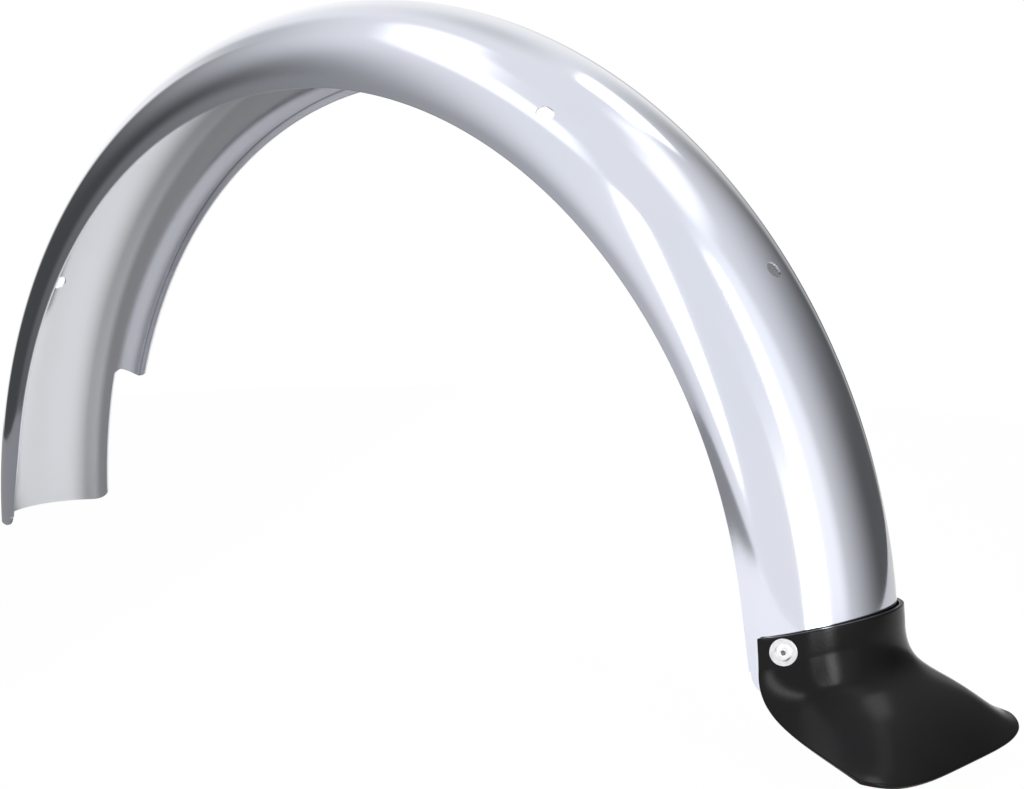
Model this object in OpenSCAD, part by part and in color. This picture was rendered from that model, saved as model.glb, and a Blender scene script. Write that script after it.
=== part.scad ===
// Rear mudguard of a light moped: a pressed steel blade with folded edges,
// a moulded flap over its rear end and two blind rivets with wide washers.
// Everything is laid out about the wheel axle, then moved so that the
// centre of the front fixing hole is the origin.
// x points to the rear, y to the right-hand side, z up.

/* [Blade] */
// Outer radius of the crown, from the wheel axle
crown_r = 310; // [290:1:380]
// Overall width of the blade
blade_w = 93.4; // [84:0.2:112]
// Height from the folded edge up to the crown
blade_depth = 44; // [42:0.5:48]
// Thickness of the sheet
sheet_t = 0.9; // [0.7:0.1:1.2]
// Height of the folded edge on the inside
hem_h = 4.4; // [3:0.1:4.5]
// Angle of the rear end, up from level behind the axle
rear_deg = 0.6; // [0:0.1:3]
// Angle of the front end
front_deg = 181; // [176:0.5:184]
// Half angle of the crown arc of the section
crown_half_deg = 42; // [40:1:44]
// Radius of the rear lower corners
rear_corner_r = 10; // [4:0.5:14]
// Radius of the front left lower corner
front_corner_r = 6; // [3:0.5:10]
// How much the skirt is shallower at the front end
front_taper = 6; // [2:0.5:8]
// How much the skirt is shallower at the rear end
rear_taper = 3.3; // [1:0.1:5]

/* [Notch on the right side] */
// Angle where the right skirt stops for the frame
notch_deg = 163.7; // [158:0.1:170]
// Depth of the notch from the folded edge
notch_depth = 21.8; // [14:0.2:26]
// Radius of the outer corner of the notch
notch_outer_r = 8; // [4:0.5:12]
// Radius of the inner corner of the notch
notch_inner_r = 5; // [3:0.5:8]
// Radius of the front right lower corner
notch_end_r = 7; // [3:0.5:9]

/* [Holes] */
// Diameter of the two crown holes
crown_hole_d = 8.4; // [6:0.1:10]
// Angle of the front crown hole
front_hole_deg = 153.57; // [148:0.01:156]
// Angle of the rear crown hole
rear_hole_deg = 37.7; // [30:0.1:45]
// Length of the side slots
slot_len = 10; // [8:0.5:14]
// Width of the side slots
slot_w = 7.5; // [5:0.5:9]
// Angle of the side slots
slot_deg = 61.9; // [50:0.1:75]

/* [Flap] */
// Wall of the moulded flap
flap_wall = 2.2; // [1.8:0.1:3]
// Clearance between flap and blade at the crown
crown_gap = 1.2; // [0.4:0.1:2]
// Clearance between flap and blade at the sides
side_gap = 0.3; // [0.2:0.05:0.8]
// Distance from the folded edge of the blade to the edge of the flap
flap_edge_up = 4.5; // [3:0.1:8]
// Angle of the top edge of the flap at the crown
flap_top_deg = 7; // [6:0.1:9]
// Angle of the top edge of the flap at the sides
flap_top_side_deg = 6.1; // [5.8:0.1:8]
// Reach of the flap behind the crown
flap_reach = 55.3; // [40:0.1:70]
// Drop of the middle of the flap below the axle
flap_drop = 15.7; // [8:0.1:24]
// Half width of the flap at its rear edge
flap_half_w = 63.6; // [58:0.1:72]

/* [Fasteners] */
// Angle of the two rivets
rivet_deg = 4.9; // [4.4:0.05:5.4]
// Diameter of the rivet shank
rivet_d = 4; // [3.2:0.1:4.8]
// Diameter of the washers
washer_d = 12.8; // [11:0.1:14]
// Thickness of the washers
washer_t = 1; // [0.8:0.1:1.5]

/* [Hidden] */
$fn = 96;
step = 0.1;
lap = 0.02;

// Section of the blade, as arcs about the centre line
half_w = blade_w / 2;
skirt_r = crown_r - blade_depth;
strip_h = 4.6;
crown_arc = 0.514 * blade_w;
sa = sin(crown_half_deg);
ca = cos(crown_half_deg);
k_wide = half_w - crown_arc * sa;
k_deep = blade_depth - strip_h - crown_arc * (1 - ca);
side_arc = (k_wide * sa - k_deep * ca) / (sa - 1);
flank = ((1 - sa) * k_deep - ca * k_wide) / (sa - 1);
crown_c = crown_r - crown_arc;
flank_start = [crown_c + crown_arc * ca, crown_arc * sa];
flank_end = flank_start + flank * [-sa, ca];
side_c = flank_end - side_arc * [ca, sa];
arc_1 = crown_arc * crown_half_deg * PI / 180;
arc_2 = arc_1 + flank;
arc_3 = arc_2 + side_arc * (90 - crown_half_deg) * PI / 180;

// Point of the outer face at arc length s from the crown: [radius, side, angle]
function section_at(s) =
    s <= arc_1 ? crown_at(s / crown_arc * 180 / PI) :
    s <= arc_2 ? flank_at(s - arc_1) :
    s <= arc_3 ? side_at(crown_half_deg + (s - arc_2) / side_arc * 180 / PI) :
    [skirt_r + strip_h - (s - arc_3), half_w, 90];
function crown_at(a) = [crown_c + crown_arc * cos(a), crown_arc * sin(a), a];
function flank_at(d) = [flank_start.x - d * sa, flank_start.y + d * ca, crown_half_deg];
function side_at(a) = [side_c.x + side_arc * cos(a), side_c.y + side_arc * sin(a), a];

// Places on the section
slot_at = section_at(arc_2 + 1.05);
rivet_at = section_at(0.77 * arc_3);
hole_c = (crown_r - sheet_t / 2) * [cos(front_hole_deg), 0, sin(front_hole_deg)];

module in_frame() translate(-hole_c) children();

// Puts a child on the outer face: z along the outward normal, x along the blade
module on_face(deg, at, side) {
    translate([at[0] * cos(deg), side * at[1], at[0] * sin(deg)])
        rotate([-side * at[2], 90 - deg, 0])
            children();
}

// Arc of the sheet, run a little way into its neighbours
module ring_sector(c, r, from, to) {
    a0 = from - lap / r * 180 / PI;
    a1 = to + lap / r * 180 / PI;
    am = (a0 + a1) / 2;
    far = 2 * r;
    translate(c)
        intersection() {
            difference() {
                circle(r);
                circle(r - sheet_t);
            }
            polygon([[0, 0], far * [cos(a0), sin(a0)], far * [cos(am), sin(am)], far * [cos(a1), sin(a1)]]);
        }
}

module half_profile() {
    n = [ca, sa];
    fold_x = skirt_r + sheet_t;
    hem_x = skirt_r + hem_h;
    inner = half_w - 2 * sheet_t;
    mid = half_w - sheet_t;
    polygon([flank_start, flank_end, flank_end - sheet_t * n, flank_start - sheet_t * n]);
    ring_sector(side_c, side_arc, crown_half_deg, 90);
    polygon([[fold_x, inner], [hem_x, inner], [hem_x, mid], [side_c.x, mid], [side_c.x, half_w], [fold_x, half_w]]);
    intersection() {
        translate([fold_x, mid])
            circle(sheet_t);
        translate([fold_x - 2 * sheet_t, inner - sheet_t])
            square([2 * sheet_t + lap, 4 * sheet_t]);
    }
}

module blade_profile() {
    ring_sector([crown_c, 0], crown_arc, -crown_half_deg, crown_half_deg);
    half_profile();
    mirror([0, 1])
        half_profile();
}

// Side view shapes, drawn with x to the rear and y up, cut through one side
module through_side(side) {
    translate([0, side > 0 ? half_w + 20 : 0, 0])
        rotate([90, 0, 0])
            linear_extrude(half_w + 20)
                children();
}

// Removes the corner between an end line and an edge circle, leaving an arc
module corner_cut(deg, turn, rad, edge_r) {
    cy = rad - step / 2;
    cx = sqrt(pow(edge_r + rad, 2) - cy * cy);
    c = [cx, cy];
    inner = c / norm(c) * (edge_r - 8);
    rotate(deg)
        mirror([0, turn > 0 ? 0 : 1])
            difference() {
                polygon([[cx, -8], c, inner, [edge_r - 12, -8]]);
                translate(c)
                    circle(rad);
            }
}

// Straight run of the skirt edge from the folded circle out to the end line:
// the sheet is cut one thickness short of it, then the fold runs on along it
function taper_turn(depth) = acos((skirt_r + step) / (skirt_r + depth));
module taper_cut(deg, turn, depth) {
    edge_x = skirt_r + step + sheet_t;
    run = edge_x * tan(taper_turn(depth)) + 12;
    rotate(deg - turn * taper_turn(depth))
        mirror([0, turn > 0 ? 0 : 1])
            polygon([[edge_x - 20, 0], [edge_x, 0], [edge_x, run], [edge_x - 50, run]]);
}

module hem_run(deg, turn, depth, side) {
    mid = half_w - sheet_t;
    away = taper_turn(depth);
    intersection() {
        rotate([0, turn * away - deg, 0])
            mirror([0, 0, turn > 0 ? 0 : 1])
                translate([skirt_r + step, 0, -step])
                    linear_extrude(skirt_r * tan(away) + 12)
                        mirror([0, side > 0 ? 0 : 1]) {
                            intersection() {
                                translate([sheet_t, mid])
                                    circle(sheet_t);
                                translate([-sheet_t, mid - 2 * sheet_t])
                                    square([2 * sheet_t + lap, 4 * sheet_t]);
                            }
                            translate([sheet_t, mid - sheet_t])
                                square([hem_h - sheet_t, sheet_t + lap]);
                        }
        through_side(side)
            rotate(deg)
                mirror([0, turn > 0 ? 0 : 1])
                    polygon([[skirt_r - 20, -80], [skirt_r + 40, -80], [skirt_r + 40, -step / 2], [skirt_r - 20, -step / 2]]);
    }
}

module notch_cut() {
    edge_r = skirt_r + notch_depth;
    cx = sqrt(pow(edge_r - notch_inner_r, 2) - notch_inner_r * notch_inner_r);
    c = [cx, notch_inner_r];
    outer = c / norm(c) * (edge_r + 8);
    rotate(notch_deg)
        difference() {
            intersection() {
                circle(edge_r);
                polygon([[skirt_r - 30, 0], [edge_r + 20, 0], [edge_r + 20, 120], [skirt_r - 60, 120]]);
            }
            difference() {
                polygon([[cx, -2], [edge_r + 8, -2], outer, c]);
                translate(c)
                    circle(notch_inner_r);
            }
        }
}

module slot_cut() {
    reach = (slot_len - slot_w) / 2;
    for (x = [-reach, reach])
        translate([x, 0, -6])
            cylinder(d = slot_w, h = 12);
    translate([-reach, -slot_w / 2, -6])
        cube([2 * reach, slot_w, 12]);
}

module crown_hole(deg) {
    on_face(deg, [crown_r, 0, 0], 1)
        translate([0, 0, -6])
            cylinder(d = crown_hole_d, h = 12);
}

module mudguard_blade() {
    in_frame()
        color("silver")
            difference() {
                union() {
                    difference() {
                        rotate([90, 0, 0])
                            rotate_extrude(angle = front_deg - rear_deg, start = rear_deg)
                                blade_profile();
                        for (side = [-1, 1])
                            through_side(side)
                                taper_cut(rear_deg, -1, rear_taper);
                        through_side(-1)
                            taper_cut(front_deg, 1, front_taper);
                    }
                    for (side = [-1, 1])
                        hem_run(rear_deg, -1, rear_taper, side);
                    hem_run(front_deg, 1, front_taper, -1);
                }
                crown_hole(front_hole_deg);
                crown_hole(rear_hole_deg);
                for (side = [-1, 1]) {
                    on_face(slot_deg, slot_at, side)
                        slot_cut();
                    on_face(rivet_deg, rivet_at, side)
                        translate([0, 0, -6])
                            cylinder(d = rivet_d + 0.2, h = 12);
                    through_side(side)
                        corner_cut(rear_deg, 1, rear_corner_r, skirt_r + rear_taper);
                }
                through_side(-1)
                    corner_cut(front_deg, -1, front_corner_r, skirt_r + front_taper);
                through_side(1)
                    notch_cut();
                through_side(1)
                    corner_cut(notch_deg, -1, notch_outer_r, skirt_r - step);
                through_side(1)
                    corner_cut(front_deg, -1, notch_end_r, skirt_r + notch_depth);
            }
}

// Flap: collar stations down to the turn, then stations out to the rear edge
n_side = 48;
n_collar = 6;
n_flare = 38;
turn_crown_deg = 5.1;
turn_side_deg = 3.1;
corner_u = 0.82;
corner_t = 0.11;
collar_s = arc_3 + strip_h - flap_edge_up;

function lerp(a, b, k) = a + (b - a) * k;
function smooth(k) = k <= 0 ? 0 : k >= 1 ? 1 : k * k * (3 - 2 * k);
function bezier(p, t) =
    pow(1 - t, 3) * p[0] + 3 * pow(1 - t, 2) * t * p[1] + 3 * (1 - t) * t * t * p[2] + pow(t, 3) * p[3];
function face_gap(a) = crown_gap * pow(cos(a), 2) + side_gap * pow(sin(a), 2);
// Collar section of the outer flap face at u from -1 to 1: [radius, side]
function collar_at(u) =
    let (p = section_at(abs(u) * collar_s), off = face_gap(p[2]) + flap_wall)
    [p[0] + off * cos(p[2]), sign(u) * (p[1] + off * sin(p[2]))];
collar_crown = collar_at(0)[0];
collar_edge = collar_at(1);
function droop(u) = (collar_crown - collar_at(u)[0]) / (collar_crown - collar_edge[0]);
function collar_point(k, u) =
    let (c = collar_at(u), d = 1 - droop(u),
         top = lerp(flap_top_side_deg, flap_top_deg, d),
         turn = lerp(turn_side_deg, turn_crown_deg, d),
         deg = lerp(top, turn, k))
    [c[0] * cos(deg), c[1], c[0] * sin(deg)];
// Guide curves of the flare in the plane of the wheel
function guide(r, deg, pull, end, push, slope) =
    let (start = r * [cos(deg), sin(deg)])
    [start, start + pull * [sin(deg), -cos(deg)], end - push * [cos(slope), -sin(slope)], end];
crown_guide = guide(collar_crown, turn_crown_deg, 25.4, [crown_r + flap_reach, -flap_drop], 29.6, 26.4);
edge_guide = guide(collar_edge[0], turn_side_deg, 22.4, [crown_r + flap_reach - 16.5, -flap_drop - 6.3], 45.4, 15);
function flare_point(k, u) =
    let (x = max(0, (abs(u) - corner_u) / (1 - corner_u)),
         t = k * (1 - corner_t * (1 - sqrt(max(0, 1 - x * x)))),
         b = smooth(t / 0.87),
         w = lerp(collar_edge[1], flap_half_w, 0.4 * t + 0.6 * t * t),
         side = lerp(collar_at(u)[1] / collar_edge[1], u, b),
         f = lerp(droop(u), pow(abs(u), 5), b),
         c = bezier(crown_guide, t),
         e = bezier(edge_guide, t),
         p = lerp(c, e, f))
    [p.x, w * side, p.y];
// The whole outer face: v from 0 at the top edge, 1 at the turn, 2 at the rear edge
function outer_point(v, u) = v < 1 ? collar_point(v, u) : flare_point(v - 1, u);
function outer_normal(v, u) =
    let (du = 0.004,
         dv = 0.01,
         a = outer_point(v, min(1, u + du)) - outer_point(v, max(-1, u - du)),
         b = outer_point(min(2, v + dv), u) - outer_point(max(0, v - dv), u),
         n = cross(b, a))
    n / norm(n);
stations = [for (i = [0 : n_collar - 1]) i / n_collar, for (i = [0 : n_flare]) 1 + i / n_flare];
rows = len(stations);
cols = n_side + 1;
outer_face = [for (v = stations) for (i = [0 : n_side]) outer_point(v, 2 * i / n_side - 1)];
inner_face = [for (v = stations) for (i = [0 : n_side])
    let (u = 2 * i / n_side - 1) outer_point(v, u) - flap_wall * outer_normal(v, u)];
function quad(a, b, c, d) = [[a, b, c], [a, c, d]];
function at(side, row, col) = side * rows * cols + row * cols + col;
grid_faces = [for (r = [0 : rows - 2]) for (c = [0 : cols - 2])
    for (f = concat(quad(at(0, r, c), at(0, r + 1, c), at(0, r + 1, c + 1), at(0, r, c + 1)),
                    quad(at(1, r, c), at(1, r, c + 1), at(1, r + 1, c + 1), at(1, r + 1, c)))) f];
end_faces = [for (c = [0 : cols - 2])
    for (f = concat(quad(at(0, 0, c), at(0, 0, c + 1), at(1, 0, c + 1), at(1, 0, c)),
                    quad(at(0, rows - 1, c), at(1, rows - 1, c), at(1, rows - 1, c + 1), at(0, rows - 1, c + 1)))) f];
rim_faces = [for (r = [0 : rows - 2])
    for (f = concat(quad(at(0, r, 0), at(1, r, 0), at(1, r + 1, 0), at(0, r + 1, 0)),
                    quad(at(0, r, cols - 1), at(0, r + 1, cols - 1), at(1, r + 1, cols - 1), at(1, r, cols - 1)))) f];

// Stack of the rivet, measured along its axis from the outer face of the blade
spot_depth = 0.7;
spot_z = face_gap(rivet_at[2]) + flap_wall - spot_depth;
head_z = spot_z + washer_t;
head_d = 2 * rivet_d;
head_rim = 0.4;
head_dome = 0.9;
dome_r = (pow(head_d / 2, 2) + head_dome * head_dome) / (2 * head_dome);
bore_d = 2.3;
bulb_r = 3.1;
bulb_top = -sheet_t - 0.1;
bulb_end = bulb_top - 4.2;

module mud_flap() {
    in_frame()
        color("dimgray")
            difference() {
                polyhedron(points = concat(outer_face, inner_face), faces = concat(grid_faces, end_faces, rim_faces));
                for (side = [-1, 1])
                    on_face(rivet_deg, rivet_at, side) {
                        translate([0, 0, -4])
                            cylinder(d = rivet_d + 0.3, h = 12);
                        translate([0, 0, spot_z])
                            cylinder(d = washer_d + 0.6, h = 6);
                    }
            }
}

module washer(side) {
    in_frame()
        color("gainsboro")
            on_face(rivet_deg, rivet_at, side)
                translate([0, 0, spot_z])
                    difference() {
                        cylinder(d = washer_d, h = washer_t);
                        translate([0, 0, -1])
                            cylinder(d = rivet_d + 0.3, h = washer_t + 2);
                    }
}

module rivet(side) {
    in_frame()
        color("white")
            on_face(rivet_deg, rivet_at, side)
                difference() {
                    union() {
                        translate([0, 0, head_z])
                            cylinder(d = head_d, h = head_rim);
                        intersection() {
                            translate([0, 0, head_z + head_rim + head_dome - dome_r])
                                sphere(dome_r);
                            translate([0, 0, head_z + head_rim])
                                cylinder(d = head_d, h = 2);
                        }
                        translate([0, 0, bulb_top - 1])
                            cylinder(d = rivet_d, h = head_z - bulb_top + 1);
                        intersection() {
                            translate([0, 0, bulb_top - 2])
                                sphere(bulb_r);
                            translate([0, 0, bulb_end])
                                cylinder(r = bulb_r + 1, h = bulb_top - bulb_end);
                        }
                    }
                    translate([0, 0, bulb_end - 1])
                        cylinder(d = bore_d, h = 14);
                }
}

module mandrel(side) {
    in_frame()
        color("gray")
            on_face(rivet_deg, rivet_at, side) {
                translate([0, 0, bulb_end - 0.5])
                    cylinder(d = bore_d - 0.1, h = head_z - bulb_end + 0.6);
                translate([0, 0, bulb_end - 1.6])
                    cylinder(d = 3.4, h = 1.6);
            }
}

mudguard_blade();
mud_flap();
washer(-1);  // washer_left
washer(1);  // washer_right
rivet(-1);  // rivet_left
rivet(1);  // rivet_right
mandrel(-1);  // mandrel_left
mandrel(1);  // mandrel_right
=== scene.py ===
import math
import bmesh
import bpy
import numpy as np
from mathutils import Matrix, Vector


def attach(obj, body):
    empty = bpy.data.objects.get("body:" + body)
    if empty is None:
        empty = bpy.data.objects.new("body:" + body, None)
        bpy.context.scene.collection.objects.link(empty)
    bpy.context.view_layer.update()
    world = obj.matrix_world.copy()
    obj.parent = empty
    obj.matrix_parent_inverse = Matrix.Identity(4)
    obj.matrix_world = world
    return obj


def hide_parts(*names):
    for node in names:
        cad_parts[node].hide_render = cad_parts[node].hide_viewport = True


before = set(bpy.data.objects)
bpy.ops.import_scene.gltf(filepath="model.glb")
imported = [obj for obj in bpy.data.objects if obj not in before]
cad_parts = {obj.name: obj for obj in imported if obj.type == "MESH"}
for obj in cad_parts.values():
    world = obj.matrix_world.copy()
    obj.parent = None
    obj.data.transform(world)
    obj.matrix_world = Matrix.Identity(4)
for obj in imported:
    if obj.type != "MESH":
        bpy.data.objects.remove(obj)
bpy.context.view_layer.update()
scene = bpy.context.scene
mm = 0.001


# camera: a long lens from behind the left side, a little above the axle
cameraSet = {"place": (1.14802, -0.90734, 0.19274), "aim": (0.36253, 0.0, -0.02579), "lens": 84.08, "film": 36.0}


def makeCamera(c):
    data = bpy.data.cameras.new("camera")
    data.lens, data.sensor_width, data.sensor_fit = c["lens"], c["film"], "HORIZONTAL"
    data.clip_start, data.clip_end = 0.05, 200
    cam = bpy.data.objects.new("camera", data)
    scene.collection.objects.link(cam)
    cam.location = c["place"]
    cam.rotation_euler = (Vector(c["aim"]) - Vector(c["place"])).to_track_quat("-Z", "Y").to_euler()
    scene.camera = cam


makeCamera(cameraSet)
print("camera set")


# shader sums and nodes
class Link:                                          # a shader socket that can stand in a sum
    def __init__(self, sheet, socket):
        self.sheet, self.socket = sheet, socket

    def calc(self, how, a, b=0.0):
        return self.sheet.add("ShaderNodeMath", {"operation": how}, {0: a, 1: b})

    def __add__(self, other): return self.calc("ADD", self, other)
    def __radd__(self, other): return self.calc("ADD", other, self)
    def __sub__(self, other): return self.calc("SUBTRACT", self, other)
    def __rsub__(self, other): return self.calc("SUBTRACT", other, self)
    def __mul__(self, other): return self.calc("MULTIPLY", self, other)
    def __rmul__(self, other): return self.calc("MULTIPLY", other, self)


class Sheet:                                         # the node sheet of one material or of the world
    def __init__(self, tree):
        self.tree = tree

    # any node: its settings first, then the values or links of its sockets; out is the output that is used
    def add(self, kind, settings=None, inputs=None, out=0):
        node = self.tree.nodes.new(kind)
        for name, value in (settings or {}).items():
            setattr(node, name, value)
        for name, value in (inputs or {}).items():
            if isinstance(value, Link):
                self.tree.links.new(value.socket, node.inputs[name])
            else:
                node.inputs[name].default_value = value
        return Link(self, node.outputs[out]) if len(node.outputs) else node

    def ease(self, value, low, high):                # smooth step from 0 at low to 1 at high
        return self.add("ShaderNodeMapRange", {"interpolation_type": "SMOOTHSTEP"},
                        {"Value": value, "From Min": low, "From Max": high, "To Min": 0.0, "To Max": 1.0})

    def mix(self, factor, a, b):                     # colour a where factor is 0, colour b where it is 1
        return self.add("ShaderNodeMix", {"data_type": "RGBA"}, {0: factor, 6: a, 7: b}, out=2)

    def noise(self, where, scale, detail=2.0):
        return self.add("ShaderNodeTexNoise", {}, {"Vector": where, "Scale": scale, "Detail": detail})

    def own(self):                                   # Object coordinates, in metres
        return self.add("ShaderNodeTexCoord", {}, {}, out=3)

    def painted(self, name):                         # a number that the mesh carries at each point
        return self.add("ShaderNodeAttribute", {"attribute_name": name}, {}, out=2)


def newMaterial(name):
    mat = bpy.data.materials.new(name)
    mat.use_nodes = True
    mat.node_tree.nodes.clear()
    return mat, Sheet(mat.node_tree)


def finishMaterial(sheet, inputs):
    surface = sheet.add("ShaderNodeBsdfPrincipled", {}, inputs)
    sheet.add("ShaderNodeOutputMaterial", {}, {"Surface": surface})


# silver paint: metallic base coat under a clear coat, plainer on the inside, where its tone is also darker as painted
# shade; a dark line of painted shade marks where the folded edge ends
paintSet = {"silver": (0.722, 0.750, 0.850), "warm": (0.742, 0.764, 0.848), "inner": (0.68, 0.68, 0.70),
            "innerPaintAndShadeShare": 0.8, "glint": (0.86, 0.88, 0.94), "glintShare": 0.12, "gapShade": (0.12, 0.12, 0.14),
            "gapShadeShare": 0.75, "rough": 0.10, "insideRough": 0.17, "flake": 1400.0, "cloud": 9.0, "peel": 160.0,
            "peelBump": 0.03, "coatRough": 0.02, "coatLoss": 0.6}


def makeBladePaint(c):
    mat, s = newMaterial("silverPaint")
    where = s.own()
    inside, seamShade = s.painted("inside"), s.painted("seamShade")
    flake = s.noise(where, c["flake"])
    cloud = s.noise(where, c["cloud"], 3.0)
    peel = s.noise(where, c["peel"])
    tone = s.mix(s.ease(cloud, 0.35, 0.65), (*c["silver"], 1), (*c["warm"], 1))
    # the inside is plainer paint, and its tone is also set darker as painted shade
    tone = s.mix(inside * c["innerPaintAndShadeShare"], tone, (*c["inner"], 1))
    tone = s.mix(flake * c["glintShare"], tone, (*c["glint"], 1))
    # painted shade: a dark line where the folded edge ends on the sheet
    tone = s.mix(seamShade * c["gapShadeShare"], tone, (*c["gapShade"], 1))
    rough = c["rough"] + inside * (c["insideRough"] - c["rough"]) + (flake - 0.5) * 0.04 + (cloud - 0.5) * 0.04
    bump = s.add("ShaderNodeBump", {}, {"Strength": c["peelBump"], "Distance": 0.0002, "Height": peel})
    finishMaterial(s, {"Base Color": tone, "Metallic": 1.0, "Roughness": rough, "Normal": bump,
                       "Coat Weight": 1.0 - inside * c["coatLoss"], "Coat Roughness": c["coatRough"], "Coat IOR": 1.5})
    return mat


# black moulded plastic, half gloss, with a fine grain
plasticSet = {"black": (0.003, 0.003, 0.0035), "worn": (0.005, 0.005, 0.006), "rough": 0.20, "gloss": 0.17,
              "grain": 900.0, "grainBump": 0.10, "flow": 22.0}


def makeFlapPlastic(c):
    mat, s = newMaterial("blackPlastic")
    where = s.own()
    grain = s.noise(where, c["grain"], 3.0)
    flow = s.noise(where, c["flow"], 3.0)
    tone = s.mix(s.ease(flow, 0.3, 0.7), (*c["black"], 1), (*c["worn"], 1))
    rough = c["rough"] + (grain - 0.5) * 0.10 + (flow - 0.5) * 0.10
    bump = s.add("ShaderNodeBump", {}, {"Strength": c["grainBump"], "Distance": 0.0002, "Height": grain})
    finishMaterial(s, {"Base Color": tone, "Metallic": 0.0, "Roughness": rough, "Normal": bump, "IOR": 1.5,
                       "Specular IOR Level": c["gloss"]})
    return mat


# bare metal of washers, rivets and pins
metalSets = {"brightWasher": {"shade": (0.78, 0.78, 0.79), "dull": (0.62, 0.62, 0.64), "rough": 0.30, "fine": 2600.0},
             "rivetMetal": {"shade": (0.88, 0.88, 0.89), "dull": (0.78, 0.78, 0.80), "rough": 0.26, "fine": 3200.0},
             "pinMetal": {"shade": (0.30, 0.30, 0.31), "dull": (0.16, 0.15, 0.15), "rough": 0.42, "fine": 4200.0}}
metalPatch, metalBump = 420.0, 0.12                  # scale of the dull patches, and how deep the fine grain looks


def makeMetal(name, c):
    mat, s = newMaterial(name)
    where = s.own()
    fine = s.noise(where, c["fine"], 3.0)
    patch = s.noise(where, metalPatch)
    tone = s.mix(s.ease(patch, 0.4, 0.75), (*c["shade"], 1), (*c["dull"], 1))
    rough = c["rough"] + (fine - 0.5) * 0.16 + (patch - 0.5) * 0.1
    bump = s.add("ShaderNodeBump", {}, {"Strength": metalBump, "Distance": 0.0001, "Height": fine})
    finishMaterial(s, {"Base Color": tone, "Metallic": 1.0, "Roughness": rough, "Normal": bump})
    return mat


bladePaint = makeBladePaint(paintSet)
flapPlastic = makeFlapPlastic(plasticSet)
metals = {name: makeMetal(name, c) for name, c in metalSets.items()}
print("materials made")


# section of the blade, in millimetres and degrees about the wheel axle, which every later piece is placed from
bladeSet = {"crownR": 310.0, "width": 93.4, "depth": 44.0, "sheet": 0.9, "hem": 4.4, "crownDeg": 42.0, "strip": 4.6,
            "rearDeg": 0.6, "frontDeg": 181.0, "rearTaper": 3.3, "frontTaper": 6.0, "stations": 260, "rows": 96,
            "notchDeg": 163.7, "notchDepth": 21.8, "notchInner": 5.0, "notchOuter": 8.0, "notchEnd": 7.0,
            "rearCorner": 10.0, "frontCorner": 6.0, "holeD": 8.4, "frontHoleDeg": 153.57, "rearHoleDeg": 37.7,
            "slotLen": 10.0, "slotW": 7.5, "slotDeg": 61.9, "slotPast": 1.05, "rivetDeg": 4.9, "rivetHole": 4.2,
            "rivetShare": 0.77, "crownShare": 0.514}
axle = np.array([277.195, 0.0, -137.782])            # wheel axle in the row frame
crownR, sheetT, halfW = bladeSet["crownR"], bladeSet["sheet"], bladeSet["width"] / 2
skirtR = crownR - bladeSet["depth"]
crownArc = bladeSet["crownShare"] * bladeSet["width"]
turn = math.radians(bladeSet["crownDeg"])
sinT, cosT = math.sin(turn), math.cos(turn)
wide, deep = halfW - crownArc * sinT, bladeSet["depth"] - bladeSet["strip"] - crownArc * (1 - cosT)
sideArc = (wide * sinT - deep * cosT) / (sinT - 1)
flank = ((1 - sinT) * deep - cosT * wide) / (sinT - 1)
crownC = crownR - crownArc
sideC = (crownC + crownArc * cosT - flank * sinT - sideArc * cosT, crownArc * sinT + flank * cosT - sideArc * sinT)
arc1 = crownArc * turn
arc2 = arc1 + flank
arc3 = arc2 + sideArc * (math.pi / 2 - turn)
rivetArc = bladeSet["rivetShare"] * arc3             # arc length from the crown to the rivets
stripTop = skirtR + bladeSet["strip"]                # radius at which the upright strip starts


# radius, side and slope of the outer face at arc length s from the crown: crown arc, flat flank, side arc, upright strip
def sectionAt(s):
    a = np.abs(s)
    side = np.where(np.asarray(s) < 0, -1.0, 1.0)
    gSide = turn + (a - arc2) / sideArc
    parts = [a <= arc1, a <= arc2, a <= arc3]
    r = np.select(parts, [crownC + crownArc * np.cos(a / crownArc), crownC + crownArc * cosT - (a - arc1) * sinT,
                          sideC[0] + sideArc * np.cos(gSide)], stripTop - (a - arc3))
    y = np.select(parts, [crownArc * np.sin(a / crownArc), crownArc * sinT + (a - arc1) * cosT,
                          sideC[1] + sideArc * np.sin(gSide)], halfW)
    g = np.select(parts, [a / crownArc, turn + 0 * a, gSide], math.pi / 2)
    return r, side * y, side * g


# a point at radius r, side y and angle theta about the axle, in metres in the row frame
def aroundAxle(r, y, theta):
    r, y, theta = np.broadcast_arrays(r, y, theta)
    return (np.stack([r * np.cos(theta), y, r * np.sin(theta)], -1) + axle) * mm


# radius of the folded edge at an angle: a circle, then at both ends a straight run, which is radius over cosine
def edgeRadius(theta):
    b = bladeSet
    rear = math.acos(skirtR / (skirtR + b["rearTaper"]))
    front = math.acos(skirtR / (skirtR + b["frontTaper"]))
    beyondRear = np.clip(math.radians(b["rearDeg"]) + rear - theta, 0, None)
    beyondFront = np.clip(theta - math.radians(b["frontDeg"]) + front, 0, None)
    return skirtR / np.cos(beyondRear + beyondFront)


def sheetEnd(theta):                                 # arc length at which the sheet turns into the fold
    r = edgeRadius(theta) + sheetT
    upright = arc3 + stripTop - r
    curved = arc2 + (np.arccos(np.clip((r - sideC[0]) / sideArc, -1, 1)) - turn) * sideArc
    return np.where(r < stripTop, upright, curved)


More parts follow.
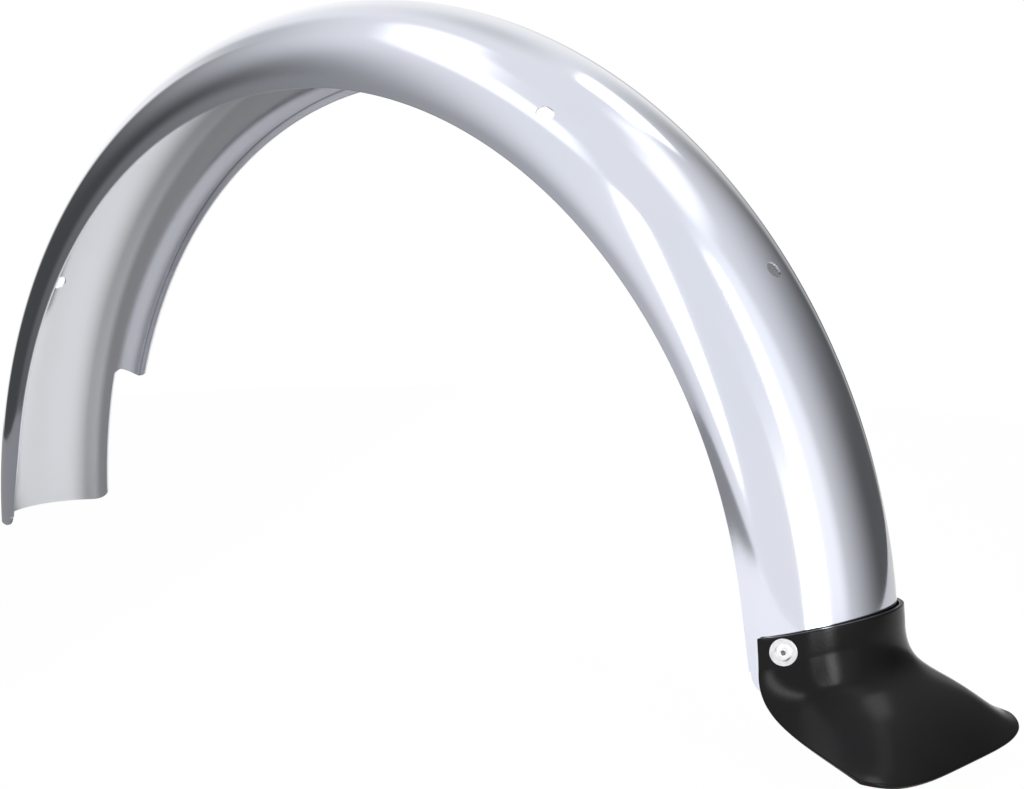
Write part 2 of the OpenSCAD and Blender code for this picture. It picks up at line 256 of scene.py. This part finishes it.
# closed loop of the rolled profile at every station: outer face, fold, hem, inner face, hem, fold
def bladeLoops(b):
    theta = np.radians(np.linspace(b["rearDeg"], b["frontDeg"], b["stations"]))[:, None]
    end = sheetEnd(theta)
    hemEnd = end - (b["hem"] - sheetT)
    rs, ys = [], []

    def face(s, off):
        r, y, g = sectionAt(s)
        rs.append(r - off * np.cos(g))
        ys.append(y - off * np.sin(g))

    def fold(side, angles):
        r, y, g = sectionAt(end)
        rc, yc = r - sheetT * np.cos(g), y - sheetT * np.sin(g)
        rs.append(rc + sheetT * np.cos(g + angles))
        ys.append(side * (yc + sheetT * np.sin(g + angles)))

    bend = np.linspace(0, np.pi, 9)[None, 1:-1]
    back = np.linspace(0, 1, 4)[None]
    across = np.concatenate([[1, 0.994, 0.988], np.linspace(0.97, -0.97, b["rows"] - 22), [-0.988, -0.994, -1]])[None]
    face(end * np.linspace(-1, 1, b["rows"])[None], 0.0)
    fold(1, bend)
    face(end + (hemEnd - end) * back, 2 * sheetT)
    face(hemEnd * across, sheetT)
    face(-(end + (hemEnd - end) * back[:, ::-1]), 2 * sheetT)
    fold(-1, bend[:, ::-1])
    return aroundAxle(np.concatenate(rs, 1), np.concatenate(ys, 1), theta)


# quads over a grid of points: row i and i + 1, column j and j + 1, closed round the loop and at its ends if asked
def gridMesh(name, grid, around=False, caps=False):
    rows, cols = grid.shape[:2]
    i, j = np.meshgrid(np.arange(rows - 1), np.arange(cols if around else cols - 1), indexing="ij")
    k = (j + 1) % cols
    faces = np.stack([i * cols + j, i * cols + k, (i + 1) * cols + k, (i + 1) * cols + j], -1).reshape(-1, 4).tolist()
    if caps:
        faces += [list(range(cols))[::-1], list(range((rows - 1) * cols, rows * cols))]
    mesh = bpy.data.meshes.new(name)
    mesh.from_pydata(grid.reshape(-1, 3).tolist(), [], faces)
    mesh.update()
    obj = bpy.data.objects.new(name, mesh)
    scene.collection.objects.link(obj)
    return obj


def faceOut(mesh):                                   # merges doubles and turns every face outwards
    work = bmesh.new()
    work.from_mesh(mesh)
    bmesh.ops.remove_doubles(work, verts=work.verts, dist=1e-7)
    bmesh.ops.recalc_face_normals(work, faces=work.faces)
    work.to_mesh(mesh)
    work.free()


# how far the cutters reach past the sheet: at a corner, at the notch, out to the side, and through a hole
cornerSpill, notchSpill, sideReach, holeReach = 8, 40, 70, 6


# straight prism on a flat outline: the outline lies on two axes at a point, and runs from low to high along the third
def prism(name, outline, at, axes, low, high):
    flat = np.asarray(outline, float) @ np.asarray(axes[:2], float)
    ends = [(np.asarray(at) + flat + h * np.asarray(axes[2])) for h in (low, high)]
    obj = gridMesh(name, (np.stack(ends) + axle) * mm, around=True, caps=True)
    faceOut(obj.data)
    return obj


def sideAxes(deg, mirrored):                         # radial and forward axes at an angle, in the plane of the wheel
    c, s = math.cos(math.radians(deg)), math.sin(math.radians(deg))
    flip = -1 if mirrored else 1
    return [(c, 0, s), (-s * flip, 0, c * flip), (0, 1, 0)]


def arcPoints(centre, r, start, stop, count=28):
    a = np.radians(np.linspace(start, stop, count))
    return np.stack([centre[0] + r * np.cos(a), centre[1] + r * np.sin(a)], -1)


# what a rounded corner leaves off: the area between the end line, the edge's circle and a circle that touches both
def cornerOutline(r, edge):
    c = np.array([math.sqrt((edge + r) ** 2 - r * r), r - 0.05])
    stop = -180 + math.degrees(math.atan2(c[1], c[0]))
    inner = c / np.linalg.norm(c) * (edge - cornerSpill)
    outline = [[(c[0], -cornerSpill)], arcPoints(c, r, -90, stop), [inner], [(edge - 1.5 * cornerSpill, -cornerSpill)]]
    return np.vstack(outline)


# what the frame notch leaves off: a ring piece up to the notch's radius, with its inner corner rounded
def notchOutline(b):
    edge, r = skirtR + b["notchDepth"], b["notchInner"]
    c = np.array([math.sqrt((edge - r) ** 2 - r * r), r])
    lean = math.degrees(math.atan2(c[1], c[0]))
    span = b["frontDeg"] - b["notchDeg"] + 3
    circle = arcPoints((0, 0), edge, lean, span, 60)[1:]
    far = (skirtR - notchSpill) * np.array([math.cos(math.radians(span)), math.sin(math.radians(span))])
    return np.vstack([[(skirtR - notchSpill, 0)], arcPoints(c, r, -90, lean, 12), circle, [far]])


def faceAxes(theta, slope):                          # along the blade, across it, and straight out of its outer face
    c, s = math.cos(math.radians(theta)), math.sin(math.radians(theta))
    out = np.array([math.cos(slope) * c, math.sin(slope), math.cos(slope) * s])
    along = np.array([-s, 0, c])
    return [along, np.cross(out, along), out]


def placeOn(theta, s):                               # point of the outer face, and the axes there
    r, y, g = (float(v) for v in sectionAt(float(s)))
    c, n = math.cos(math.radians(theta)), math.sin(math.radians(theta))
    return np.array([r * c, y, r * n]), faceAxes(theta, g)


def bladeCutters(b):
    rear, front, notch = (skirtR + b[k] for k in ("rearTaper", "frontTaper", "notchDepth"))
    cuts = [("cutRear", cornerOutline(b["rearCorner"], rear), "rearDeg", False, -sideReach, sideReach),
            ("cutFront", cornerOutline(b["frontCorner"], front), "frontDeg", True, -sideReach, 0),
            ("cutNotch", notchOutline(b), "notchDeg", False, 0, sideReach),
            ("cutNotchOuter", cornerOutline(b["notchOuter"], skirtR), "notchDeg", True, 0, sideReach),
            ("cutNotchEnd", cornerOutline(b["notchEnd"], notch), "frontDeg", True, 0, sideReach)]
    made = []
    for name, outline, deg, flip, low, high in cuts:
        made.append(prism(name, outline, (0, 0, 0), sideAxes(b[deg], flip), low, high))
    ring = arcPoints((0, 0), 1.0, 0, 360, 65)[:-1]
    reach, half = (b["slotLen"] - b["slotW"]) / 2, b["slotW"] / 2
    slot = np.vstack([arcPoints((reach, 0), half, -90, 90, 25), arcPoints((-reach, 0), half, 90, 270, 25)])
    holes = [("cutHole", ring * b["holeD"] / 2, b[deg], 0.0) for deg in ("frontHoleDeg", "rearHoleDeg")]
    for side in (-1, 1):
        holes.append(("cutSlot", slot, b["slotDeg"], side * (arc2 + b["slotPast"])))
        holes.append(("cutRivet", ring * b["rivetHole"] / 2, b["rivetDeg"], side * rivetArc))
    for name, outline, deg, arc in holes:
        at, axes = placeOn(deg, arc)
        made.append(prism(name, outline, at, axes, -holeReach, holeReach))
    return made


def cutAway(obj, cutters):                           # takes the cutters off, then leaves a plain triangle mesh
    for k, cutter in enumerate(cutters):
        step = obj.modifiers.new("cut%d" % k, "BOOLEAN")
        step.operation, step.solver, step.object = "DIFFERENCE", "MANIFOLD", cutter
    obj.modifiers.new("triangles", "TRIANGULATE")
    bpy.context.view_layer.update()
    shape = bpy.data.meshes.new_from_object(obj.evaluated_get(bpy.context.evaluated_depsgraph_get()))
    obj.modifiers.clear()
    obj.data = shape
    for cutter in cutters:
        bpy.data.objects.remove(cutter)


def meshArrays(mesh):                                # points, the point of every corner, and face normals
    points, corner = np.zeros(len(mesh.vertices) * 3), np.zeros(len(mesh.loops), int)
    flat = np.zeros(len(mesh.polygons) * 3)
    mesh.vertices.foreach_get("co", points)
    mesh.loops.foreach_get("vertex_index", corner)
    mesh.polygons.foreach_get("normal", flat)
    return points.reshape(-1, 3), corner, flat.reshape(-1, 3)


# true normals of the rolled sheet, put on every corner whose face lies on the sheet, so that the gloss runs clean:
# the slope at a point is its angle about the crown arc's middle, or about the side arc's past the flat flank
def trueNormals(mesh, lieLimit=0.97):
    mesh.set_sharp_from_angle(angle=math.radians(32))
    own = np.zeros(len(mesh.loops) * 3)
    mesh.corner_normals.foreach_get("vector", own)
    own = own.reshape(-1, 3)
    points, corner, flat = meshArrays(mesh)
    p = points[corner] / mm - axle
    theta, r, y = np.arctan2(p[:, 2], p[:, 0]), np.hypot(p[:, 0], p[:, 2]), np.abs(p[:, 1])
    crown = np.arctan2(y, r - crownC)
    side = np.arctan2(y - sideC[1], r - sideC[0])
    g = np.where(crown <= turn, crown, np.clip(side, turn, math.pi / 2)) * np.sign(p[:, 1] + 1e-9)
    n = np.stack([np.cos(g) * np.cos(theta), np.sin(g), np.cos(g) * np.sin(theta)], -1)
    lie = np.sum(n * np.repeat(flat, 3, axis=0), 1)
    own = np.where((np.abs(lie) > lieLimit)[:, None], n * np.sign(lie)[:, None], own)
    mesh.normals_split_custom_set(own.tolist())


def carry(mesh, name, values):                       # a number at each point, for the paint to read
    mesh.attributes.new(name, "FLOAT", "POINT").data.foreach_set("value", values)


# masks for the paint: inside is the depth under the outer face over the sheet's thickness, and seam is painted shade,
# a dark line where the folded edge ends on the sheet, one at its line and none past half a millimetre
def bladeMasks(mesh, b):
    points = meshArrays(mesh)[0]
    p = points / mm - axle
    r, y = np.hypot(p[:, 0], p[:, 2]), np.abs(p[:, 1])
    crownD = crownArc - np.hypot(y, r - crownC)
    sideD = sideArc - np.hypot(y - sideC[1], r - sideC[0])
    under = np.where(np.arctan2(y, r - crownC) <= turn, crownD, np.where(r < sideC[0], halfW - y, sideD))
    foldEnd = sheetEnd(np.arctan2(p[:, 2], p[:, 0])) - (b["hem"] - sheetT)
    away = np.abs(arc3 + stripTop - r - foldEnd)
    seamShade = np.clip(1.2 - away / 0.45, 0, 1) * (under > 0.5 * sheetT) * (r < stripTop + b["rearTaper"])
    carry(mesh, "inside", np.clip(under / sheetT, 0, 1))
    carry(mesh, "seamShade", seamShade)


def finishPiece(obj, material, node):      # its material, the body it rides on, and the CAD node it stands for
    obj.data.materials.clear()
    obj.data.materials.append(material)
    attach(obj, "root")
    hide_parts(node)
    return obj


def makeBlade(b):
    obj = gridMesh("bladeSheet", bladeLoops(b), around=True, caps=True)
    cutAway(obj, bladeCutters(b))
    obj.data.shade_smooth()
    trueNormals(obj.data)
    bladeMasks(obj.data, b)
    return finishPiece(obj, bladePaint, "mudguard_blade")


blade = makeBlade(bladeSet)
print("blade made", len(blade.data.polygons))


# flap: collar along the blade, then a flare between two guide curves
flapSet = {"wall": 2.2, "crownGap": 1.2, "sideGap": 0.3, "edgeUp": 8.6, "topDeg": 7.0, "topSideDeg": 6.1,
           "turnDeg": 5.1, "turnSideDeg": 3.1, "halfW": 65.0, "widen": 0.45, "bend": 0.88, "edgeFall": 4.2,
           "crown": {"pull": 28.0, "reach": 47.2, "drop": 22.8, "push": 47.0, "slope": 52.5},
           "edge": {"pull": 22.8, "reach": 34.0, "drop": 19.1, "push": 42.0, "slope": 11.5},
           "cornerU": 0.78, "cornerT": 0.045, "collarRows": 10, "flareRows": 60, "cols": 121, "crowd": 1.2,
           "round": 0.7, "spotR": 6.7, "spotDeep": 0.7, "spotTop": 9.0, "shankR": 2.15, "shankLow": -4.0}
collarEnd = arc3 + bladeSet["strip"] - flapSet["edgeUp"]


def lerp(a, b, k):
    return a + (b - a) * k


def collarOff(g):                                    # how far the collar's outer face stands off the blade at a slope
    return flapSet["crownGap"] * np.cos(g) ** 2 + flapSet["sideGap"] * np.sin(g) ** 2 + flapSet["wall"]


def collarAt(u):                                     # radius and side of the collar's outer face, u from -1 to 1
    r, y, g = sectionAt(np.abs(u) * collarEnd)
    return r + collarOff(g) * np.cos(g), np.sign(u) * (y + collarOff(g) * np.sin(g))


collarCrown = float(collarAt(np.array(0.0))[0])
collarEdge = [float(v) for v in collarAt(np.array(1.0))]
spotHeight = collarOff(float(sectionAt(rivetArc)[2])) - flapSet["spotDeep"]


def droop(u):                                        # 0 on the collar's crown and 1 at its edges
    return (collarCrown - collarAt(u)[0]) / (collarCrown - collarEdge[0])


# four points of a cubic curve in the plane of the wheel: it leaves the collar straight and arrives at a slope
def guide(r, deg, g):
    a, b = math.radians(deg), math.radians(g["slope"])
    start, end = r * np.array([math.cos(a), math.sin(a)]), np.array([crownR + g["reach"], -g["drop"]])
    return [start, start + g["pull"] * np.array([math.sin(a), -math.cos(a)]),
            end - g["push"] * np.array([math.cos(b), -math.sin(b)]), end]


def bezier(p, k):                                    # cubic blend of four points
    k = k[..., None]
    return (1 - k) ** 3 * p[0] + 3 * (1 - k) ** 2 * k * p[1] + 3 * (1 - k) * k * k * p[2] + k ** 3 * p[3]


# outer face of the flap: v runs 0 to 1 down the collar and 1 to 2 out along the flare, u from left to right;
# the flare blends between the crown's and the edges' guide curve, and its rear corners are rounded off as ellipses
def flapFace(v, u):
    f = flapSet
    v, u = np.broadcast_arrays(v, u)
    r, y = collarAt(u)
    high = 1 - droop(u)
    top, low = lerp(f["topSideDeg"], f["topDeg"], high), lerp(f["turnSideDeg"], f["turnDeg"], high)
    deg = np.radians(lerp(top, low, np.clip(v, 0, 1)))
    collar = np.stack([r * np.cos(deg), y, r * np.sin(deg)], -1)
    x = np.clip((np.abs(u) - f["cornerU"]) / (1 - f["cornerU"]), 0, 1)
    k = np.clip(v - 1, 0, 1) * (1 - f["cornerT"] * (1 - np.sqrt(1 - x * x)))
    b = np.clip(k / f["bend"], 0, 1)
    b = b * b * (3 - 2 * b)
    width = lerp(collarEdge[1], f["halfW"], (1 - f["widen"]) * k + f["widen"] * k * k)
    side = lerp(y / collarEdge[1], u, b)
    fall = lerp(droop(u), np.abs(u) ** f["edgeFall"], b)
    crown = guide(collarCrown, f["turnDeg"], f["crown"])
    edge = guide(collarEdge[0], f["turnSideDeg"], f["edge"])
    p = lerp(bezier(crown, k), bezier(edge, k), fall[..., None])
    flare = np.stack([p[..., 0], width * side, p[..., 1]], -1)
    return (np.where((v < 1)[..., None], collar, flare) + axle) * mm


def makeFlap(f):
    v = np.concatenate([np.linspace(0, 1, f["collarRows"])[:-1], np.linspace(1, 2, f["flareRows"])])[:, None]
    u = np.sin(np.linspace(-1, 1, f["cols"]) * f["crowd"])[None] / math.sin(f["crowd"])
    obj = gridMesh("flapShell", flapFace(v, u)[:, ::-1])
    shell = obj.modifiers.new("wall", "SOLIDIFY")
    shell.thickness, shell.offset, shell.use_even_offset = f["wall"] * mm, -1.0, True
    soft = obj.modifiers.new("rounded", "BEVEL")
    soft.width, soft.segments, soft.limit_method, soft.angle_limit = f["round"] * mm, 3, "ANGLE", math.radians(50)
    ring = arcPoints((0, 0), 1.0, 0, 360, 49)[:-1]
    cutters = []
    for side in (-1, 1):
        at, axes = placeOn(bladeSet["rivetDeg"], side * rivetArc)
        cutters.append(prism("cutSpot", ring * f["spotR"], at, axes, spotHeight, f["spotTop"]))
        cutters.append(prism("cutShank", ring * f["shankR"], at, axes, f["shankLow"], f["spotTop"]))
    cutAway(obj, cutters)
    obj.data.shade_smooth()
    obj.data.set_sharp_from_angle(angle=math.radians(38))
    return finishPiece(obj, flapPlastic, "mud_flap")


flap = makeFlap(flapSet)
print("flap made", len(flap.data.polygons))


# washers, rivets and pins: profiles turned about the rivet's axis
fastenerSet = {"washerR": 6.4, "washerBore": 2.15, "washerT": 1.0, "headR": 4.0, "bore": 1.15, "shank": 2.0,
               "bulb": 3.1, "bulbLen": 4.2, "pinHead": 1.7, "turns": 72}


# a profile of radius and height pairs, carried round the axis that stands on the sheet at the rivet
def turned(name, profile, side, count):
    at, axes = placeOn(bladeSet["rivetDeg"], side * rivetArc)
    profile = np.asarray(profile, float)
    a = np.linspace(0, 2 * np.pi, count + 1)[:-1][:, None]
    r, h = profile[None, :, 0], profile[None, :, 1]
    local = np.stack([r * np.cos(a), r * np.sin(a), h + 0 * a], -1)
    grid = (local @ np.asarray(axes) + at + axle) * mm
    obj = gridMesh(name, np.concatenate([grid, grid[:1]])[:, ::-1], around=True)
    faceOut(obj.data)
    obj.data.shade_smooth()
    obj.data.set_sharp_from_angle(angle=math.radians(50))
    return obj


def washerProfile(c, z, top):                        # flat ring with a shallow groove and a rounded rim
    q = np.radians(np.linspace(0, 90, 7))
    rim = [(c["washerR"] - 0.3 + 0.3 * math.sin(k), top - 0.3 + 0.3 * math.cos(k)) for k in q]
    face = [(c["washerBore"], z), (c["washerBore"], top - 0.1), (2.4, top), (4.3, top - 0.02), (4.6, top - 0.06),
            (5.2, top - 0.02)]
    return face + rim + [(c["washerR"], z + 0.15), (c["washerR"] - 0.15, z)]


def rivetProfile(c, top, low):                       # low dome with a bored middle, shank, and the bulged inner end
    inner, outer = c["bore"] + 0.45, c["headR"] - 0.08
    head = [(c["headR"], top + 0.05), (c["headR"], top + 0.35)]
    head += [(inner + (outer - inner) * k, top + 0.4 + 0.8 * (1 - k * k)) for k in np.linspace(1, 0, 9)]
    head += [(c["bore"] + 0.15, top + 1.12), (c["bore"], top + 0.95)]
    bulb = [(c["shank"], low), (c["shank"] + 0.3, low - 0.02)]
    bulb += [(math.sqrt(max(c["bulb"] ** 2 - h * h, 0)), low - 2 + h) for h in np.linspace(1.9, -2.0, 9)]
    bulb += [(c["bulb"] - 0.9, low - c["bulbLen"]), (c["bore"], low - c["bulbLen"])]
    return [(c["headR"] - 0.1, top)] + head + [(c["bore"], low - c["bulbLen"])] + bulb[::-1][1:] + [(c["shank"], top)]


def pinProfile(c, top, low):                         # broken end in the rivet's bore, and the pin's head behind the bulb
    shaft, end = c["bore"] - 0.05, low - c["bulbLen"]
    broken = [(0, top + 0.25), (0.55, top + 0.32), (0.9, top + 0.22), (shaft, top + 0.05), (shaft, end - 0.15)]
    head = [(c["pinHead"], end - 0.3), (c["pinHead"], end - 1.4), (c["pinHead"] - 0.3, end - 1.6), (0, end - 1.6)]
    return broken + head


def makeFasteners(c):
    top, low = spotHeight + c["washerT"], -sheetT - 0.1
    kinds = [("washerRing", washerProfile(c, spotHeight, top), "brightWasher", "bright_washer", "washer"),
             ("rivetBody", rivetProfile(c, top, low), "rivetMetal", "rivet_body", "rivet"),
             ("rivetPin", pinProfile(c, top, low), "pinMetal", "rivet_pin", "mandrel")]
    made = []
    for side, word in ((-1, "left"), (1, "right")):
        for name, profile, metal, slotName, node in kinds:
            obj = turned(name + "_" + word, profile, side, c["turns"])
            made.append(finishPiece(obj, metals[metal], node + "_" + word))
    return made


fasteners = makeFasteners(fastenerSet)
print("fasteners made", sum(len(o.data.polygons) for o in fasteners))


# floor and studio light: a white room with soft dark gaps that the gloss shows
stageSet = {"floorX": 0.28, "floorZ": -0.1735, "floorR": 0.80, "white": 0.95, "shade": 0.27, "shadeFrom": 0.13,
            "shadeTo": 0.03, "farShade": 0.6, "farFrom": 0.68, "farTo": 0.88, "seenWhite": 0.985, "room": 0.94}
# gaps and windows of the room, laid over each other: azimuth and elevation of the middle, half width and half height,
# how wide each side fades, all in degrees, the level there, and how far the middle leans over as it rises
roomPanels = [
    {"az": -73, "wide": 34, "fade": (14, 40), "el": -10, "high": 39, "fadeEl": 52, "level": 0.068, "lean": 0.0},
    {"az": 155, "wide": 42, "fade": (84, 24), "el": -10, "high": 50, "fadeEl": 70, "level": 0.105, "lean": 0.0},
    {"az": 208, "wide": 10, "fade": (8, 10), "el": -12, "high": 17, "fadeEl": 24, "level": 0.10, "lean": 0.0},
    {"az": -138, "wide": 12, "fade": (22, 22), "el": 50, "high": 10, "fadeEl": 22, "level": 0.72, "lean": 0.0},
    {"az": 78, "wide": 17, "fade": (18, 16), "el": 27, "high": 34, "fadeEl": 14, "level": 1.15, "lean": 0.0},
    {"az": 67, "wide": 5, "fade": (6, 8), "el": 21, "high": 32, "fadeEl": 8, "level": 9.0, "lean": 0.0},
    {"az": -125, "wide": 8, "fade": (6, 6), "el": 7, "high": 18, "fadeEl": 14, "level": 1.0, "lean": 0.0},
    {"az": 2, "wide": 5, "fade": (7, 7), "el": 25, "high": 25, "fadeEl": 8, "level": 6.0, "lean": 0.45},
    {"az": -52, "wide": 50, "fade": (14, 24), "el": 61, "high": 8, "fadeEl": 8, "level": 1.6, "lean": 0.0},
    {"az": 125, "wide": 45, "fade": (30, 30), "el": 70, "high": 8, "fadeEl": 10, "level": 1.4, "lean": 0.0},
    {"az": 186, "wide": 13, "fade": (6, 6), "el": 58, "high": 8, "fadeEl": 6, "level": 2.5, "lean": 0.0}]


def grey(level):
    return (level, level, level, 1)


# a disc under the object, white to the camera; in the gloss it has a dark part in front and a greyer far part
def makeFloor(c):
    r = np.linspace(0, 1, 14)[:, None] ** 1.5 * c["floorR"]
    a = np.linspace(0, 2 * np.pi, 97)[None, :-1]
    grid = np.stack([c["floorX"] + r * np.cos(a), r * np.sin(a), c["floorZ"] + 0 * r * a], -1)
    obj = gridMesh("floor", grid, around=True)
    mat, s = newMaterial("paleFloor")
    where = s.own()
    x, y = (s.add("ShaderNodeSeparateXYZ", {}, {0: where}, out=k) for k in range(2))
    tone = s.mix(s.noise(where, 30.0, 3.0) * 0.25, grey(c["white"]), grey(c["white"] * 0.97))
    tone = s.mix(s.ease(x + y * 0.5, c["shadeFrom"], c["shadeTo"]), tone, grey(c["white"] * c["shade"]))
    tone = s.mix(s.ease(x + y, c["farFrom"], c["farTo"]), tone, grey(c["white"] * c["farShade"]))
    seen = s.add("ShaderNodeLightPath", {}, {}, out=0)
    matte = s.add("ShaderNodeBsdfPrincipled", {}, {"Base Color": tone, "Roughness": 0.9, "Specular IOR Level": 0.0})
    bright = s.add("ShaderNodeEmission", {}, {"Color": grey(1), "Strength": 1.0})
    both = s.add("ShaderNodeMixShader", {}, {0: seen * c["seenWhite"], 1: matte, 2: bright})
    s.add("ShaderNodeOutputMaterial", {}, {"Surface": both})
    obj.data.materials.append(mat)


# the world: each panel is a soft-edged box in azimuth and elevation, mixed over the level of the room under it
def makeRoom(c, panels):
    world = bpy.data.worlds.new("studio")
    scene.world = world
    world.use_nodes = True
    world.node_tree.nodes.clear()
    s = Sheet(world.node_tree)
    way = s.add("ShaderNodeTexCoord", {}, {}, out=0)
    x, y, z = (s.add("ShaderNodeSeparateXYZ", {}, {0: way}, out=k) for k in range(3))
    level = c["room"]
    up = s.add("ShaderNodeMath", {"operation": "ARCSINE"}, {0: z}) * (180 / math.pi)
    for p in panels:
        a = math.radians(p["az"])                    # angle from the panel's middle, so no seam at the back
        ahead = x * math.sin(a) - y * math.cos(a)
        aside = x * math.cos(a) + y * math.sin(a)
        turnTo = s.add("ShaderNodeMath", {"operation": "ARCTAN2"}, {0: aside, 1: ahead}) * (180 / math.pi)
        off = turnTo - (up - p["el"]) * p["lean"]
        rise = s.add("ShaderNodeMath", {"operation": "ABSOLUTE"}, {0: up - p["el"]})
        low, high = p["fade"][0] / 2, p["fade"][1] / 2
        mask = s.ease(off, -p["wide"] - low, low - p["wide"]) * s.ease(off, p["wide"] + high, p["wide"] - high)
        mask = mask * s.ease(rise, p["high"] + p["fadeEl"] / 2, p["high"] - p["fadeEl"] / 2)
        level = level * (1 - mask) + mask * p["level"]
    seen = s.add("ShaderNodeLightPath", {}, {}, out=0)
    back = s.add("ShaderNodeBackground", {}, {"Color": grey(1), "Strength": seen + (1 - seen) * level})
    s.add("ShaderNodeOutputWorld", {}, {"Surface": back})


makeFloor(stageSet)
makeRoom(stageSet, roomPanels)
scene.view_settings.view_transform = "Standard"
print("floor and light set")
